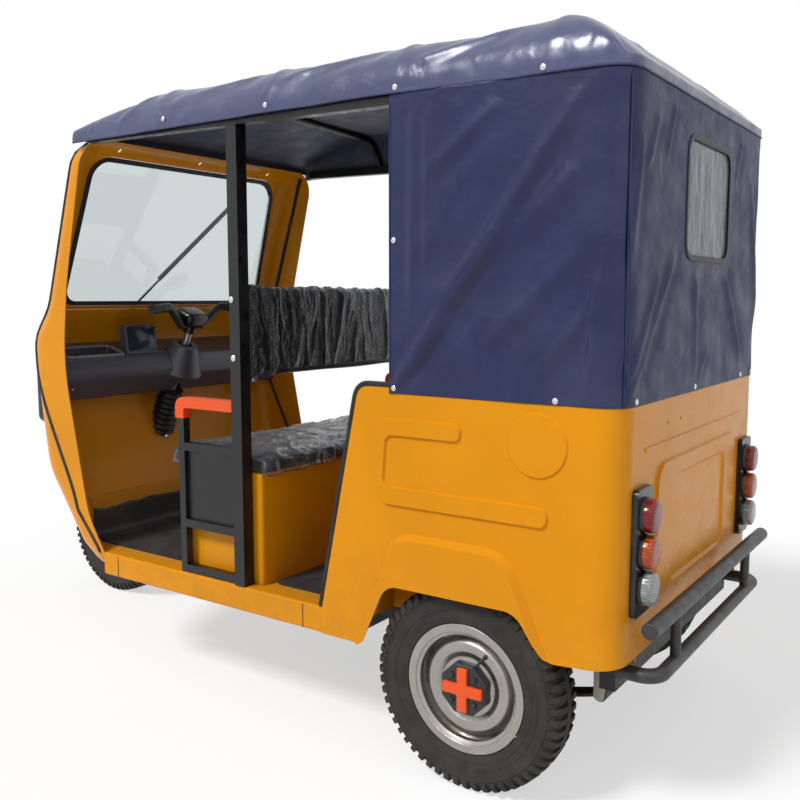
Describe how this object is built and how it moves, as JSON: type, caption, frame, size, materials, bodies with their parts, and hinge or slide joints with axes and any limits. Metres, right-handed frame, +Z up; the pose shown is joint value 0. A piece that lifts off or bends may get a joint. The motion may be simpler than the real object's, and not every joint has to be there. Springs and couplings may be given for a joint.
{
  "type": "electric passenger three-wheeler",
  "caption": "Small three-wheeled electric passenger vehicle with a pressed steel body, a cloth canopy over hoops, handlebar steering and a rear bench.",
  "frame": {"origin": "on the floor under the middle of the vehicle's bounding box", "axes": "+Z up, -Y is the way the vehicle drives forward, +X is its left side"},
  "size_m": [1.186, 2.7869, 1.902],
  "materials": {
    "body_yellow": "gloss",
    "frame_black": "satin",
    "chassis_black": "matte",
    "bumper_grey": "satin",
    "axle_black": "matte",
    "spring_steel": "matte",
    "fork_steel": "satin",
    "rim_silver": "metallic",
    "hub_black": "satin",
    "tyre_black": "matte",
    "rubber_black": "matte",
    "canopy_navy": "satin",
    "clear_sheet": "gloss",
    "windscreen_glass": "gloss",
    "seat_vinyl": "satin",
    "plastic_black": "satin",
    "armrest_orange": "satin",
    "lamp_shell": "gloss",
    "battery_case": "matte"
  },
  "bodies": {
    "body": {"chassis_frame": "chassis_black", "battery_box": "battery_case", "rear_axle": "axle_black", "leaf_springs": "spring_steel", "spring_shackles": "spring_steel", "floor_pan": "body_yellow", "floor_mats": "rubber_black", "side_sills": "body_yellow", "front_cowl": "body_yellow", "nose_fairing": "body_yellow", "windscreen_frame": "body_yellow", "windscreen_gasket": "rubber_black", "windscreen": "windscreen_glass", "wiper": "plastic_black", "dash_panel": "plastic_black", "headlamps": "lamp_shell", "seat_box": "body_yellow", "driver_cushion": "seat_vinyl", "driver_backrest": "seat_vinyl", "door_posts": "frame_black", "door_guards": "frame_black", "armrests": "armrest_orange", "quarter_panel_left": "body_yellow", "quarter_panel_right": "body_yellow", "rear_panel": "body_yellow", "bench_base": "body_yellow", "bench_cushion": "seat_vinyl", "bench_backrest": "seat_vinyl", "roof_frame": "frame_black", "roof_canvas": "canopy_navy", "side_canvas_left": "canopy_navy", "side_canvas_right": "canopy_navy", "rear_canvas": "canopy_navy", "rear_window": "clear_sheet", "tail_lamps": "lamp_shell", "rear_bumper": "bumper_grey"},
    "steering": {"front_fork": "fork_steel", "handlebar": "frame_black", "handlebar_grips": "rubber_black", "handlebar_cover": "plastic_black", "front_mudguard": "plastic_black"},
    "front_wheel": {"front_tyre": "tyre_black", "front_rim": "rim_silver"},
    "rear_wheel_left": {"rear_tyre_left": "tyre_black", "rear_rim_left": "rim_silver", "rear_hub_left": "hub_black"},
    "rear_wheel_right": {"rear_tyre_right": "tyre_black", "rear_rim_right": "rim_silver", "rear_hub_right": "hub_black"}
  },
  "joints": [
    {"name": "steering_turn", "type": "hinge", "parent": "body", "child": "steering", "pos_m": [0, -1.08372, 0.24998], "axis": [0, 0.4226, 0.9063], "range_deg": [-40, 40]},
    {"name": "front_wheel_spin", "type": "hinge", "parent": "steering", "child": "front_wheel", "pos_m": [0, -1.1245, 0.269], "axis": [1, 0, 0], "continuous": true},
    {"name": "rear_wheel_left_spin", "type": "hinge", "parent": "body", "child": "rear_wheel_left", "pos_m": [0.512, 0.9155, 0.269], "axis": [1, 0, 0], "continuous": true},
    {"name": "rear_wheel_right_spin", "type": "hinge", "parent": "body", "child": "rear_wheel_right", "pos_m": [-0.512, 0.9155, 0.269], "axis": [1, 0, 0], "continuous": true}
  ]
}
